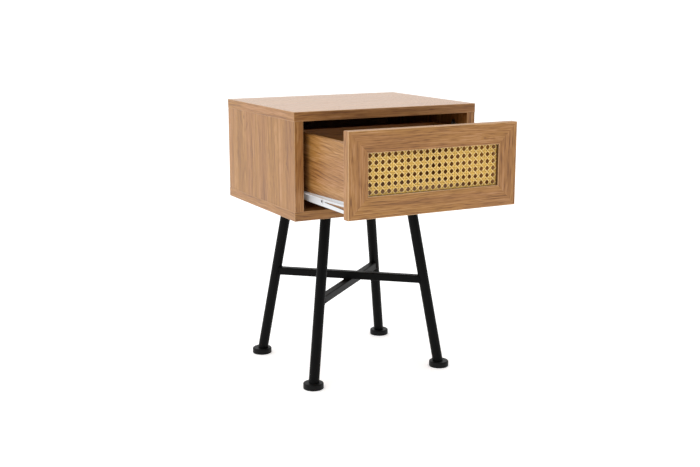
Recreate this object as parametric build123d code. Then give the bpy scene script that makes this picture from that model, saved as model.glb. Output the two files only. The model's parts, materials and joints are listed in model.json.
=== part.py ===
from build123d import *
import os
from math import atan2, degrees

# Bedside table: a one-drawer box of oak-faced board on a splayed leg frame of black steel tube.
#
# Frame: +Z up, +X to the right of someone facing the drawer, the drawer opens towards -Y.
# The origin is on the floor, in the middle of the table's footprint with the drawer open as it
# is modelled. Every length is in millimetres.

os.makedirs("parts", exist_ok=True)

# ---- Driving dimensions ---------------------------------------------------------------------

# Whole table
TABLE_WIDTH = 400.0
CARCASS_DEPTH = 328.0
CARCASS_HEIGHT = 205.0
LEG_FRAME_HEIGHT = 348.0

# Boards of the carcass
BOARD = 18.0
EDGING = 1.0
TOP_OVERHANG = 0.8
BACK_THICKNESS = 3.0
BACK_INSET = 8.0
BACK_GROOVE_DEPTH = 6.0
GROOVE_CLEARANCE = 0.3

# Carcass fastenings
DOWEL_RADIUS = 4.0
DOWEL_LENGTH = 30.0
DOWEL_IN_FACE = 11.0
CAM_RADIUS = 7.5
CAM_DEPTH = 12.7
CAM_SETBACK = 24.0
CAM_BOLT_RADIUS = 3.0
CAM_BOLT_IN_FACE = 11.0
PANEL_SCREW_RADIUS = 3.4
PANEL_SCREW_HEAD_RADIUS = 5.0
PANEL_SCREW_HEAD = 2.5
PANEL_SCREW_LENGTH = 50.0
FASTENING_SETBACK = 50.0
DOWEL_SPACING = 32.0
HOLE_CLEARANCE = 0.15
HOLE_END_CLEARANCE = 1.0

# Leg frame
LEG_RADIUS = 10.65
TUBE_WALL = 1.2
LEG_TOP_X = 97.0
LEG_TOP_Y = 88.0
LEG_FLOOR_X = 147.0
LEG_FLOOR_Y = 128.5
STRETCHER_SIZE = 16.0
STRETCHER_CORNER = 2.0
UPPER_STRETCHER_HEIGHT = 187.0
PLATE_SIZE = 62.0
PLATE_CORNER = 8.0
PLATE_THICKNESS = 3.0
PLATE_HOLE_INSET = 8.0
PLATE_SCREW_RADIUS = 2.4
PLATE_SCREW_HEAD_RADIUS = 4.6
PLATE_SCREW_HEAD = 2.6
PLATE_SCREW_IN_PANEL = 12.0
FOOT_RADIUS = 20.5
FOOT_HEIGHT = 12.0
FOOT_TOP_ROUND = 2.5
FOOT_BOTTOM_ROUND = 1.5
FOOT_PEG_LENGTH = 28.0
FOOT_PEG_CLEARANCE = 0.2

# Drawer front
OPEN_SHORT_OF_STOP = 14.0
FRONT_SIDE_GAP = 3.7
FRONT_TOP_GAP = 1.5
FRONT_BOTTOM_GAP = 11.0
FRONT_THICKNESS = 18.0
FRAME_MEMBER = 40.0
CANE_RECESS = 7.5
CANE_THICKNESS = 1.6
CANE_REBATE = 12.0
BEAD_CLEARANCE = 0.3
SMALL_DOWEL_RADIUS = 3.0
SMALL_DOWEL_LENGTH = 24.0
MITRE_DOWEL_INSET = 14.0

# Drawer box
BOX_BOARD = 12.0
RUNNER_GAP = 13.2
BOX_TOP_BELOW_OPENING = 26.0
BOX_BOTTOM_THICKNESS = 3.0
BOX_BOTTOM_ABOVE_EDGE = 10.0
BOX_GROOVE_DEPTH = 5.0
BOX_CAM_RADIUS = 5.0
BOX_CAM_DEPTH = 9.5
BOX_CAM_SETBACK = 20.0
BOX_BOLT_RADIUS = 2.2
BOX_BOLT_IN_FRONT = 9.0
BOX_FASTENING_INSET = 26.0

# Drawer runners
SHEET = 1.2
RUNNER_ABOVE_PANEL = 18.0
RUNNER_WEB = 17.0
RUNNER_FRONT_RISE = 5.0
RUNNER_FRONT_RISE_LENGTH = 150.0
RUNNER_FLANGE_TO_CABINET = 2.7
RUNNER_FLANGE_FRONT = 6.5
RUNNER_FLANGE_TAPER = 95.0
RUNNER_LEDGE = 10.0
SPACE_BEHIND_BOX = 49.0
RUNNER_OVERLAP = 65.0
RUNNER_BEHIND_FRONT = 2.0
RUNNER_SLOT_LENGTH = 90.0
RUNNER_SLOT_HEIGHT = 6.5
RUNNER_SLOT_CENTRE = 9.0
RUNNER_HOLE_RADIUS = 2.5
RUNNER_HOLE_IN_BOX = 5.0
RUNNER_BOSS_RADIUS = 4.6
RUNNER_BOSS_HEIGHT = 0.5
RUNNER_HOLE_BEHIND_SLOT = 11.0
CHANNEL_LIFT = 0.5
CHANNEL_HEIGHT = 14.5
CHANNEL_WEB_GAP = 1.5
CHANNEL_FLANGE_START = 27.0
STOP_DROP = 4.0
ROLLER_CLEARANCE = 0.3
ROLLER_SIDE_GAP = 0.4
CABINET_ROLLER_RADIUS = 7.0
CABINET_PIN_SHOULDER = 3.2
CABINET_ROLLER_SETBACK = 12.0
PIN_TO_SCREW_GAP = 1.5
DRAWER_ROLLER_SETBACK = 10.0
ROLLER_PIN_RADIUS = 2.0
ROLLER_BORE_CLEARANCE = 0.05
PIN_SHOULDER_RADIUS = 3.2
PIN_HEAD_RADIUS = 3.4
PIN_HEAD = 0.8
PIN_HEAD_TO_RING = 0.6
RUNNER_SCREW_RADIUS = 1.7
RUNNER_SCREW_HEAD_RADIUS = 3.4
RUNNER_SCREW_HEAD = 1.2
RUNNER_SCREW_LENGTH = 11.0

# ---- Places worked out from them --------------------------------------------------------------

runner_length = CARCASS_DEPTH - FRONT_THICKNESS - SPACE_BEHIND_BOX - BACK_THICKNESS - BACK_INSET
drawer_travel = runner_length - RUNNER_OVERLAP
drawer_open = drawer_travel - OPEN_SHORT_OF_STOP

front_y = (drawer_open - CARCASS_DEPTH) / 2.0
back_y = front_y + CARCASS_DEPTH
middle_y = (front_y + back_y) / 2.0
half_width = TABLE_WIDTH / 2.0
bottom_z = LEG_FRAME_HEIGHT
top_z = bottom_z + CARCASS_HEIGHT
floor_panel_z = bottom_z + BOARD
ceiling_z = top_z - BOARD
side_outer = half_width - TOP_OVERHANG
side_inner = side_outer - BOARD

face_y = front_y - drawer_open
front_back_y = face_y + FRONT_THICKNESS
front_half = side_inner - FRONT_SIDE_GAP
front_low = floor_panel_z + FRONT_BOTTOM_GAP
front_high = ceiling_z - FRONT_TOP_GAP
cane_half = front_half - FRAME_MEMBER
cane_low = front_low + FRAME_MEMBER
cane_high = front_high - FRAME_MEMBER
rebate_y = face_y + CANE_RECESS
bead_y = rebate_y + CANE_THICKNESS

box_outer = side_inner - RUNNER_GAP
box_inner = box_outer - BOX_BOARD
box_back_y = front_back_y + runner_length
runner_z = floor_panel_z + RUNNER_ABOVE_PANEL
box_low = runner_z + SHEET
box_high = ceiling_z - BOX_TOP_BELOW_OPENING
box_floor_low = box_low + BOX_BOTTOM_ABOVE_EDGE
box_floor_high = box_floor_low + BOX_BOTTOM_THICKNESS

channel_low = runner_z + CHANNEL_LIFT
channel_high = channel_low + CHANNEL_HEIGHT
channel_reach = SHEET + CHANNEL_WEB_GAP
channel_web = RUNNER_GAP - SHEET
flange_reach = RUNNER_GAP - RUNNER_FLANGE_TO_CABINET
cabinet_runner_y = front_y + FRONT_THICKNESS + RUNNER_BEHIND_FRONT
flange_low = runner_z + RUNNER_WEB - SHEET
cabinet_roller_y = cabinet_runner_y + CABINET_ROLLER_SETBACK
cabinet_roller_z = flange_low - ROLLER_CLEARANCE - CABINET_ROLLER_RADIUS
drawer_roller_radius = CHANNEL_HEIGHT / 2.0 - SHEET - ROLLER_CLEARANCE
drawer_roller_y = front_back_y + runner_length - DRAWER_ROLLER_SETBACK
drawer_roller_z = channel_low + CHANNEL_HEIGHT / 2.0
stop_y = drawer_roller_y - OPEN_SHORT_OF_STOP - drawer_roller_radius - SHEET - ROLLER_CLEARANCE

SIDES = {"left": -1.0, "right": 1.0}
ENDS = {"front": -1.0, "rear": 1.0}


# ---- Helpers ------------------------------------------------------------------------------------

def block(x, y, z):
    """A box from three (low, high) pairs; the two ends of a pair may come in either order."""
    size = [abs(pair[1] - pair[0]) for pair in (x, y, z)]
    centre = [(pair[1] + pair[0]) / 2.0 for pair in (x, y, z)]
    return Pos(*centre) * Box(*size)


def rod(start, end, radius):
    """A round bar between two points."""
    axis = Vector(*end) - Vector(*start)
    plane = Plane(origin=Vector(*start), z_dir=axis)
    return plane * Cylinder(radius, axis.length, align=(Align.CENTER, Align.CENTER, Align.MIN))


def cross_recess(centre, direction, size, depth):
    """The cross that a driver fits into, sunk into a screw head from the point on its face."""
    plane = Plane(origin=Vector(*centre), z_dir=Vector(*direction))
    arm = Pos(0, 0, -depth / 2.0) * Box(size, size / 5.0, depth)
    return plane * (arm + Rot(0, 0, 90) * arm)


def save(name, shape):
    """Write one node, which is one piece or one group of identical fasteners."""
    shape.label = name
    export_step(shape, f"parts/{name}.step")


def group(pieces):
    """Separate identical solids that share one node."""
    return Compound(children=[solid for piece in pieces for solid in piece.solids()])


# ---- Carcass fastenings and the holes they need -------------------------------------------------

dowel_reach = DOWEL_LENGTH - DOWEL_IN_FACE
screw_places = (front_y + FASTENING_SETBACK, back_y - FASTENING_SETBACK)
dowel_places = (screw_places[0] + DOWEL_SPACING, screw_places[1] - DOWEL_SPACING)
side_middle = side_inner + BOARD / 2.0
cam_z = ceiling_z - CAM_SETBACK


def carcass_dowels():
    """Eight beech dowels, two at each joint between a side and the top or bottom panel."""
    pieces = []
    for side in SIDES.values():
        for y in dowel_places:
            x = side * side_middle
            upper = (ceiling_z - dowel_reach, ceiling_z + DOWEL_IN_FACE)
            lower = (floor_panel_z - DOWEL_IN_FACE, floor_panel_z + dowel_reach)
            for low_z, high_z in (upper, lower):
                pieces.append(rod((x, y, low_z), (x, y, high_z), DOWEL_RADIUS))
    return pieces


def dowel_holes():
    """The holes for those dowels, a little wider and deeper than the dowels."""
    radius = DOWEL_RADIUS + HOLE_CLEARANCE
    deep = dowel_reach + HOLE_END_CLEARANCE
    shallow = DOWEL_IN_FACE + HOLE_END_CLEARANCE
    holes = []
    for side in SIDES.values():
        for y in dowel_places:
            x = side * side_middle
            holes.append(rod((x, y, ceiling_z - deep), (x, y, ceiling_z + shallow), radius))
            holes.append(rod((x, y, floor_panel_z - shallow), (x, y, floor_panel_z + deep), radius))
    return holes


def cam_bolts(clearance=0.0, end_clearance=0.0):
    """Bolts that hang from the top panel into the cams, or their holes when clearances are given."""
    radius = CAM_BOLT_RADIUS + clearance
    pieces = []
    for side in SIDES.values():
        for y in screw_places:
            x = side * side_middle
            high = ceiling_z + CAM_BOLT_IN_FACE + end_clearance
            pieces.append(rod((x, y, cam_z - end_clearance), (x, y, high), radius))
    return pieces


def cams(clearance=0.0):
    """Round cam housings in the inner faces of the sides, or their holes when a clearance is given."""
    pieces = []
    for side in SIDES.values():
        for y in screw_places:
            face = side * side_inner
            inside = side * (side_inner + CAM_DEPTH + clearance)
            pieces.append(rod((face, y, cam_z), (inside, y, cam_z), CAM_RADIUS + clearance))
    return pieces


def finished_cams():
    """The housings with the slot that takes the bolt and the cross that turns them."""
    slots = cam_bolts(HOLE_CLEARANCE, CAM_BOLT_RADIUS)
    finished = []
    for housing in cams():
        for slot in slots:
            housing = housing - slot
        centre = housing.bounding_box().center()
        side = 1.0 if centre.X > 0 else -1.0
        face = (side * side_inner, centre.Y, cam_z)
        finished.append(housing - cross_recess(face, (-side, 0, 0), CAM_RADIUS, 2.0))
    return finished


def panel_screws():
    """Four long screws driven up through the bottom panel into the sides."""
    pieces = []
    for side in SIDES.values():
        for y in screw_places:
            x = side * side_middle
            shank = rod((x, y, bottom_z), (x, y, bottom_z + PANEL_SCREW_LENGTH), PANEL_SCREW_RADIUS)
            head = rod((x, y, bottom_z), (x, y, bottom_z + PANEL_SCREW_HEAD), PANEL_SCREW_HEAD_RADIUS)
            recess = cross_recess((x, y, bottom_z), (0, 0, -1), PANEL_SCREW_HEAD_RADIUS, 1.8)
            pieces.append(shank + head - recess)
    return pieces


def panel_screw_holes():
    """Countersunk clearance holes for the long screws."""
    holes = []
    for side in SIDES.values():
        for y in screw_places:
            x = side * side_middle
            end_z = bottom_z + PANEL_SCREW_LENGTH + HOLE_END_CLEARANCE
            holes.append(rod((x, y, bottom_z), (x, y, end_z), PANEL_SCREW_RADIUS + HOLE_CLEARANCE))
            sink = (x, y, bottom_z + PANEL_SCREW_HEAD)
            holes.append(rod((x, y, bottom_z), sink, PANEL_SCREW_HEAD_RADIUS + HOLE_CLEARANCE))
    return holes


# ---- Leg frame ------------------------------------------------------------------------------------

def leg_point(side, end, z):
    """The point on a leg's centre line at the height z."""
    down = (LEG_FRAME_HEIGHT - z) / LEG_FRAME_HEIGHT
    x = LEG_TOP_X + down * (LEG_FLOOR_X - LEG_TOP_X)
    y = LEG_TOP_Y + down * (LEG_FLOOR_Y - LEG_TOP_Y)
    return (side * x, middle_y + end * y, z)


def leg_rod(side, end, radius):
    """A round bar along a leg's centre line that runs past both ends of the leg."""
    beyond = LEG_RADIUS * 2.0
    return rod(leg_point(side, end, -beyond), leg_point(side, end, LEG_FRAME_HEIGHT + beyond), radius)


def leg(side, end):
    """A splayed round tube, cut level at the foot and at the plate."""
    tube = leg_rod(side, end, LEG_RADIUS) - leg_rod(side, end, LEG_RADIUS - TUBE_WALL)
    span = (-TABLE_WIDTH, TABLE_WIDTH)
    return tube & block(span, span, (FOOT_HEIGHT, LEG_FRAME_HEIGHT - PLATE_THICKNESS))


def foot(side, end):
    """A flat round foot whose slanting peg plugs the open end of the tube."""
    x, y, _ = leg_point(side, end, 0.0)
    disc = Pos(x, y, FOOT_HEIGHT / 2.0) * Cylinder(FOOT_RADIUS, FOOT_HEIGHT)
    rims = disc.edges().filter_by(GeomType.CIRCLE).sort_by(Axis.Z)
    disc = fillet(rims[-1], FOOT_TOP_ROUND)
    lower_rim = disc.edges().filter_by(GeomType.CIRCLE).sort_by(Axis.Z)[0]
    disc = fillet(lower_rim, FOOT_BOTTOM_ROUND)
    peg = leg_rod(side, end, LEG_RADIUS - TUBE_WALL - FOOT_PEG_CLEARANCE)
    span = (-TABLE_WIDTH, TABLE_WIDTH)
    peg = peg & block(span, span, (FOOT_HEIGHT / 2.0, FOOT_HEIGHT + FOOT_PEG_LENGTH))
    return disc + peg


def stretcher_bar(start, end, size, corner):
    """A level bar of rounded square section between two points."""
    axis = Vector(*end) - Vector(*start)
    plane = Plane(origin=Vector(*start), x_dir=(0, 0, 1), z_dir=axis)
    return extrude(plane * RectangleRounded(size, size, corner), amount=axis.length)


def stretcher_tube(start, end):
    """That bar as a tube."""
    bore = STRETCHER_SIZE - 2.0 * TUBE_WALL
    outer = stretcher_bar(start, end, STRETCHER_SIZE, STRETCHER_CORNER)
    return outer - stretcher_bar(start, end, bore, STRETCHER_CORNER - TUBE_WALL)


def stretchers():
    """Two tubes that cross, the upper one resting on the lower one, and end at the legs' skins."""
    tubes = []
    for side, height in ((-1.0, UPPER_STRETCHER_HEIGHT), (1.0, UPPER_STRETCHER_HEIGHT - STRETCHER_SIZE)):
        tube = stretcher_tube(leg_point(side, 1.0, height), leg_point(-side, -1.0, height))
        tubes.append(tube - leg_rod(side, 1.0, LEG_RADIUS) - leg_rod(-side, -1.0, LEG_RADIUS))
    return tubes


def plate_screw_spots(side, end):
    """The four screw places of one leg plate."""
    x, y, _ = leg_point(side, end, LEG_FRAME_HEIGHT - PLATE_THICKNESS)
    reach = PLATE_SIZE / 2.0 - PLATE_HOLE_INSET
    return [(x + i * reach, y + j * reach) for i in (-1.0, 1.0) for j in (-1.0, 1.0)]


def leg_plate(side, end):
    """A square steel plate welded across the top of a leg, with four screw holes."""
    low_z = LEG_FRAME_HEIGHT - PLATE_THICKNESS
    x, y, _ = leg_point(side, end, low_z)
    outline = RectangleRounded(PLATE_SIZE, PLATE_SIZE, PLATE_CORNER)
    plate = extrude(Plane(origin=(x, y, low_z)) * outline, amount=PLATE_THICKNESS)
    for spot_x, spot_y in plate_screw_spots(side, end):
        low = (spot_x, spot_y, low_z)
        plate -= rod(low, (spot_x, spot_y, LEG_FRAME_HEIGHT), PLATE_SCREW_RADIUS + HOLE_CLEARANCE)
    return plate


def plate_screws():
    """Sixteen screws that hold the leg frame to the bottom panel, and the holes they need."""
    under = LEG_FRAME_HEIGHT - PLATE_THICKNESS
    screws = []
    holes = []
    for side in SIDES.values():
        for end in ENDS.values():
            for x, y in plate_screw_spots(side, end):
                tip = (x, y, bottom_z + PLATE_SCREW_IN_PANEL)
                shank = rod((x, y, under), tip, PLATE_SCREW_RADIUS)
                crown = (x, y, under - PLATE_SCREW_HEAD)
                head = rod(crown, (x, y, under), PLATE_SCREW_HEAD_RADIUS)
                recess = cross_recess(crown, (0, 0, -1), PLATE_SCREW_HEAD_RADIUS, 1.6)
                screws.append(shank + head - recess)
                end_z = bottom_z + PLATE_SCREW_IN_PANEL + HOLE_END_CLEARANCE
                holes.append(rod((x, y, bottom_z), (x, y, end_z), PLATE_SCREW_RADIUS + HOLE_CLEARANCE))
    return screws, holes


# ---- Runners, mounted at both sides of the drawer --------------------------------------------------

def outward(side, distance):
    """The x at a distance out from the outer face of the drawer's side."""
    return side * (box_outer + distance)


def drawer_screw_places():
    """Where screws go up through the ledge of the drawer's runner into the drawer's side."""
    return [front_back_y + runner_length * share for share in (0.12, 0.5, 0.88)]


def cabinet_screw_places():
    """Where screws fix the cabinet's runner to the cabinet's side."""
    return [cabinet_runner_y + runner_length * share for share in (0.2, 0.52, 0.88)]


def runner_hole(side, near, far, radius):
    """A round bar at the hole in the runner's web, between two distances from the drawer's side."""
    y = front_back_y + RUNNER_SLOT_LENGTH + RUNNER_HOLE_BEHIND_SLOT
    z = runner_z + RUNNER_SLOT_CENTRE
    return rod((outward(side, near), y, z), (outward(side, far), y, z), radius)


def drawer_runner(side):
    """A folded steel runner under the drawer's side: ledge, upright web and outward track."""
    start = front_back_y
    end = front_back_y + runner_length
    high = runner_z + RUNNER_WEB
    peak = high + RUNNER_FRONT_RISE
    ledge_x = (outward(side, -RUNNER_LEDGE), outward(side, SHEET))
    ledge = block(ledge_x, (start, end), (runner_z, runner_z + SHEET))
    web_outline = Polyline(
        (start, runner_z),
        (end, runner_z),
        (end, high),
        (start + RUNNER_FRONT_RISE_LENGTH, high),
        (start, peak),
        close=True,
    )
    web_plane = Plane(origin=(outward(side, 0.0), 0, 0), x_dir=(0, 1, 0), z_dir=(1, 0, 0))
    web = extrude(web_plane * make_face(web_outline), amount=side * SHEET)
    track_outline = Polyline(
        (outward(side, 0.0), start),
        (outward(side, RUNNER_FLANGE_FRONT), start),
        (outward(side, flange_reach), start + RUNNER_FLANGE_TAPER),
        (outward(side, flange_reach), end),
        (outward(side, 0.0), end),
        close=True,
    )
    track = extrude(Plane(origin=(0, 0, flange_low)) * make_face(track_outline), amount=SHEET, dir=(0, 0, 1))
    boss = runner_hole(side, SHEET, SHEET + RUNNER_BOSS_HEIGHT, RUNNER_BOSS_RADIUS)
    hole = runner_hole(side, 0.0, 2.0 * SHEET, RUNNER_HOLE_RADIUS)
    slot_z = runner_z + RUNNER_SLOT_CENTRE
    slot_outline = Polyline(
        (start + SHEET, slot_z - RUNNER_SLOT_HEIGHT / 2.0),
        (start + RUNNER_SLOT_LENGTH, slot_z - SHEET / 2.0),
        (start + RUNNER_SLOT_LENGTH, slot_z + SHEET / 2.0),
        (start + SHEET, slot_z + RUNNER_SLOT_HEIGHT / 2.0),
        close=True,
    )
    slot = extrude(web_plane * make_face(slot_outline), amount=side * SHEET)
    runner = ledge + web + track + boss - hole - slot
    screw_x = outward(side, -RUNNER_LEDGE / 2.0)
    for y in drawer_screw_places():
        low = (screw_x, y, runner_z)
        runner -= rod(low, (screw_x, y, box_low), RUNNER_SCREW_RADIUS + HOLE_CLEARANCE)
    return runner


def cabinet_runner(side):
    """A folded steel channel on the cabinet's side, cut back at the front to clear its roller."""
    start = cabinet_runner_y
    end = start + runner_length
    flange_start = start + CHANNEL_FLANGE_START
    web_x = (outward(side, channel_web), outward(side, RUNNER_GAP))
    flange_x = (outward(side, channel_reach), outward(side, channel_web))
    runner = block(web_x, (start, end), (channel_low, channel_high))
    runner += block(flange_x, (flange_start, end), (channel_low, channel_low + SHEET))
    runner += block(flange_x, (flange_start, end), (channel_high - SHEET, channel_high))
    stop_z = channel_high - SHEET
    runner += block(flange_x, (stop_y, stop_y + SHEET), (stop_z - STOP_DROP, stop_z))
    for y in cabinet_screw_places():
        inner = (outward(side, channel_web), y, drawer_roller_z)
        outer = (outward(side, RUNNER_GAP), y, drawer_roller_z)
        runner -= rod(inner, outer, RUNNER_SCREW_RADIUS + HOLE_CLEARANCE)
    return runner


def roller(side, near, width, centre, radius):
    """A nylon roller that turns on its pin, with its inner face at the distance near."""
    bore = ROLLER_PIN_RADIUS + ROLLER_BORE_CLEARANCE
    y, z = centre
    inner = (outward(side, near), y, z)
    outer = (outward(side, near + width), y, z)
    tyre = rod(inner, outer, radius)
    tyre = chamfer(tyre.edges().filter_by(GeomType.CIRCLE), 0.4)
    return tyre - rod(inner, outer, bore)


cabinet_head_near = SHEET + RUNNER_BOSS_HEIGHT + PIN_HEAD_TO_RING
cabinet_roller_near = cabinet_head_near + PIN_HEAD + ROLLER_SIDE_GAP
cabinet_roller_width = channel_web - CABINET_PIN_SHOULDER - cabinet_roller_near
drawer_roller_near = SHEET + CHANNEL_WEB_GAP + ROLLER_SIDE_GAP
drawer_pin_end = channel_web - RUNNER_SCREW_HEAD - PIN_TO_SCREW_GAP
drawer_roller_width = drawer_pin_end - PIN_HEAD - ROLLER_SIDE_GAP - drawer_roller_near


def cabinet_roller_pins():
    """Rivets in the cabinet's runners: a shoulder at the web, a head beyond the roller."""
    pieces = []
    for side in SIDES.values():
        y = cabinet_roller_y
        z = cabinet_roller_z
        near = cabinet_roller_near - ROLLER_SIDE_GAP
        far = cabinet_roller_near + cabinet_roller_width + ROLLER_SIDE_GAP
        web = outward(side, channel_web)
        shaft = rod((outward(side, near), y, z), (web, y, z), ROLLER_PIN_RADIUS)
        head = rod((outward(side, near - PIN_HEAD), y, z), (outward(side, near), y, z), PIN_HEAD_RADIUS)
        shoulder = rod((outward(side, far), y, z), (web, y, z), PIN_SHOULDER_RADIUS)
        pieces.append(shaft + head + shoulder)
    return pieces


def drawer_roller_pins():
    """Rivets in the drawer's runners: a shoulder at the web, a head beyond the roller."""
    pieces = []
    for side in SIDES.values():
        y = drawer_roller_y
        z = drawer_roller_z
        near = drawer_roller_near - ROLLER_SIDE_GAP
        far = drawer_roller_near + drawer_roller_width + ROLLER_SIDE_GAP
        web = outward(side, SHEET)
        shaft = rod((web, y, z), (outward(side, far), y, z), ROLLER_PIN_RADIUS)
        shoulder = rod((web, y, z), (outward(side, near), y, z), PIN_SHOULDER_RADIUS)
        head = rod((outward(side, far), y, z), (outward(side, far + PIN_HEAD), y, z), PIN_HEAD_RADIUS)
        pieces.append(shaft + shoulder + head)
    return pieces


def cabinet_runner_screws():
    """Screws through the channel webs into the cabinet's sides, and their holes."""
    screws = []
    holes = []
    for side in SIDES.values():
        for y in cabinet_screw_places():
            crown = (outward(side, channel_web - RUNNER_SCREW_HEAD), y, drawer_roller_z)
            web = (outward(side, channel_web), y, drawer_roller_z)
            face = (outward(side, RUNNER_GAP), y, drawer_roller_z)
            tip = (outward(side, RUNNER_GAP + RUNNER_SCREW_LENGTH), y, drawer_roller_z)
            hole_depth = RUNNER_SCREW_LENGTH + HOLE_END_CLEARANCE
            hole_end = (outward(side, RUNNER_GAP + hole_depth), y, drawer_roller_z)
            head = rod(crown, web, RUNNER_SCREW_HEAD_RADIUS)
            recess = cross_recess(crown, (-side, 0, 0), RUNNER_SCREW_HEAD_RADIUS, 0.8)
            screws.append(head + rod(web, tip, RUNNER_SCREW_RADIUS) - recess)
            holes.append(rod(face, hole_end, RUNNER_SCREW_RADIUS + HOLE_CLEARANCE))
    return screws, holes


def drawer_runner_screws():
    """Screws up through the runner ledges into the drawer's sides, and their holes."""
    screws = []
    holes = []
    for side in SIDES.values():
        x = outward(side, -RUNNER_LEDGE / 2.0)
        for y in drawer_screw_places():
            crown = (x, y, runner_z - RUNNER_SCREW_HEAD)
            tip = (x, y, box_low + RUNNER_SCREW_LENGTH)
            hole_end = (x, y, box_low + RUNNER_SCREW_LENGTH + HOLE_END_CLEARANCE)
            head = rod(crown, (x, y, runner_z), RUNNER_SCREW_HEAD_RADIUS)
            recess = cross_recess(crown, (0, 0, -1), RUNNER_SCREW_HEAD_RADIUS, 0.8)
            screws.append(head + rod((x, y, runner_z), tip, RUNNER_SCREW_RADIUS) - recess)
            holes.append(rod((x, y, box_low), hole_end, RUNNER_SCREW_RADIUS + HOLE_CLEARANCE))
    return screws, holes


# ---- Drawer front ------------------------------------------------------------------------------------

def cane_rebate():
    """The step behind the opening that holds the cane and its beads."""
    x = (-cane_half - CANE_REBATE, cane_half + CANE_REBATE)
    z = (cane_low - CANE_REBATE, cane_high + CANE_REBATE)
    return block(x, (rebate_y, front_back_y), z)


def front_member(corners):
    """One mitred member of the frame, from its corners seen from the front as (x, z)."""
    outline = make_face(Polyline(*corners, close=True))
    plane = Plane(origin=(0, front_back_y, 0), x_dir=(1, 0, 0), z_dir=(0, -1, 0))
    return extrude(plane * outline, amount=FRONT_THICKNESS) - cane_rebate()


def front_members():
    """Two rails and two stiles, mitred at the corners."""
    rails = {}
    for name, outer, inner in (("bottom", front_low, cane_low), ("top", front_high, cane_high)):
        corners = [(-front_half, outer), (front_half, outer), (cane_half, inner), (-cane_half, inner)]
        rails[f"front_{name}_rail"] = front_member(corners)
    for name, side in SIDES.items():
        outer = side * front_half
        inner = side * cane_half
        corners = [(outer, front_low), (outer, front_high), (inner, cane_high), (inner, cane_low)]
        rails[f"front_{name}_stile"] = front_member(corners)
    return rails


def mitre_dowels(clearance=0.0, end_clearance=0.0):
    """A dowel square to each mitre, or its hole when clearances are given."""
    y = face_y + FRONT_THICKNESS / 2.0
    reach = (SMALL_DOWEL_LENGTH / 2.0 + end_clearance) / 2.0 ** 0.5
    pieces = []
    for side in SIDES.values():
        for up, edge in ((1.0, front_low), (-1.0, front_high)):
            x = side * (front_half - MITRE_DOWEL_INSET)
            z = edge + up * MITRE_DOWEL_INSET
            low = (x - side * reach, y, z - up * reach)
            high = (x + side * reach, y, z + up * reach)
            radius = SMALL_DOWEL_RADIUS + clearance
            pieces.append(rod(low, high, radius))
    return pieces


def cane_beads():
    """Four thin strips that hold the cane in its rebate: the long pair and the short pair."""
    y = (bead_y, front_back_y)
    outer_x = cane_half + CANE_REBATE - BEAD_CLEARANCE
    short_z = (cane_low, cane_high)
    long_pair = []
    for low, high in (
        (cane_low - CANE_REBATE + BEAD_CLEARANCE, cane_low),
        (cane_high, cane_high + CANE_REBATE - BEAD_CLEARANCE),
    ):
        long_pair.append(block((-outer_x, outer_x), y, (low, high)))
    short_pair = [block((side * cane_half, side * outer_x), y, short_z) for side in SIDES.values()]
    return long_pair, short_pair


# ---- Drawer box ------------------------------------------------------------------------------------

box_board_middle = box_inner + BOX_BOARD / 2.0
box_fastening_z = (box_low + BOX_FASTENING_INSET, box_high - BOX_FASTENING_INSET)
box_back_front_y = box_back_y - BOX_BOARD
small_dowel_half = SMALL_DOWEL_LENGTH / 2.0
back_dowel_z = (box_floor_high + BOX_FASTENING_INSET, box_high - BOX_FASTENING_INSET)
back_dowel_y = box_back_y - BOX_BOARD / 2.0
back_dowel_in_side = BOX_BOARD - SMALL_DOWEL_RADIUS


def back_dowels(clearance=0.0, end_clearance=0.0):
    """Dowels between the drawer's back and its sides, or their holes when clearances are given."""
    pieces = []
    for side in SIDES.values():
        for z in back_dowel_z:
            outer_x = side * (box_inner + back_dowel_in_side + end_clearance)
            inner_x = side * (box_inner + back_dowel_in_side - SMALL_DOWEL_LENGTH - end_clearance)
            radius = SMALL_DOWEL_RADIUS + clearance
            pieces.append(rod((inner_x, back_dowel_y, z), (outer_x, back_dowel_y, z), radius))
    return pieces


def box_cam_bolts(clearance=0.0, end_clearance=0.0):
    """Bolts from the drawer's front into its sides, or their holes when clearances are given."""
    pieces = []
    for side in SIDES.values():
        for z in box_fastening_z:
            x = side * box_board_middle
            start_y = front_back_y - BOX_BOLT_IN_FRONT - end_clearance
            end_y = front_back_y + BOX_CAM_SETBACK + end_clearance
            pieces.append(rod((x, start_y, z), (x, end_y, z), BOX_BOLT_RADIUS + clearance))
    return pieces


def box_cams(clearance=0.0):
    """Cam housings in the inner faces of the drawer's sides, or their holes."""
    y = front_back_y + BOX_CAM_SETBACK
    pieces = []
    for side in SIDES.values():
        for z in box_fastening_z:
            face = (side * box_inner, y, z)
            inside = (side * (box_inner + BOX_CAM_DEPTH + clearance), y, z)
            pieces.append(rod(face, inside, BOX_CAM_RADIUS + clearance))
    return pieces


def finished_box_cams():
    """The drawer's cam housings with their bolt slots and crosses."""
    slots = box_cam_bolts(HOLE_CLEARANCE, BOX_BOLT_RADIUS)
    finished = []
    for housing in box_cams():
        for slot in slots:
            housing = housing - slot
        box = housing.bounding_box()
        side = 1.0 if box.center().X > 0 else -1.0
        face = (side * box_inner, box.center().Y, box.center().Z)
        finished.append(housing - cross_recess(face, (-side, 0, 0), BOX_CAM_RADIUS, 1.5))
    return finished


def box_floor(clearance=0.0):
    """The drawer's bottom panel, or the groove for it when a clearance is given."""
    reach = box_inner + BOX_GROOVE_DEPTH - GROOVE_CLEARANCE + clearance
    start = front_back_y - BOX_GROOVE_DEPTH + GROOVE_CLEARANCE - clearance
    return block((-reach, reach), (start, box_back_y), (box_floor_low, box_floor_high + clearance))


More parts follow.
